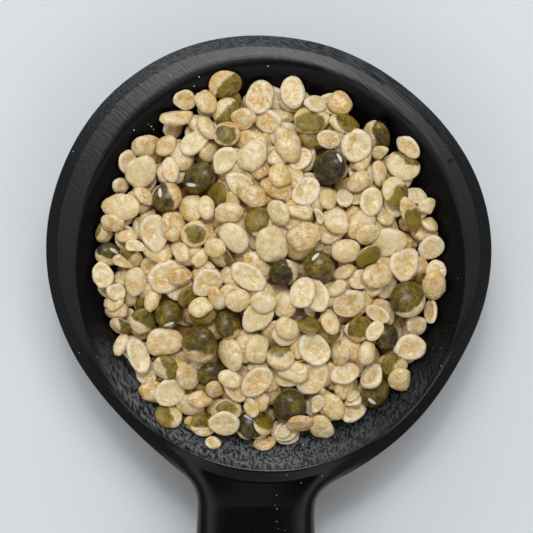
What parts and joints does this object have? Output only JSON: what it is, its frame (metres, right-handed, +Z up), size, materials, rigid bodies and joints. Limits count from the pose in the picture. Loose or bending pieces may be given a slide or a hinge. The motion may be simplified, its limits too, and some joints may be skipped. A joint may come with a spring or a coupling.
{
  "type": "dish of dry lentils",
  "caption": "Small round black wooden scoop dish with a flat handle, heaped level over its rim with split dry lentils.",
  "frame": {"origin": "centre of the bowl's flat foot, on the surface that the dish stands on", "axes": "+Z up out of the foot, and the handle points along -Y"},
  "size_m": [0.0722, 0.1407, 0.023],
  "materials": {
    "stained_wood": "satin black stain over fine sanded grain",
    "hulled_lentils": "chalky cream, some with olive and dark brown skin"
  },
  "bodies": {
    "root": {"dish": "stained_wood", "lentil_heap": "hulled_lentils"}
  },
  "joints": []
}
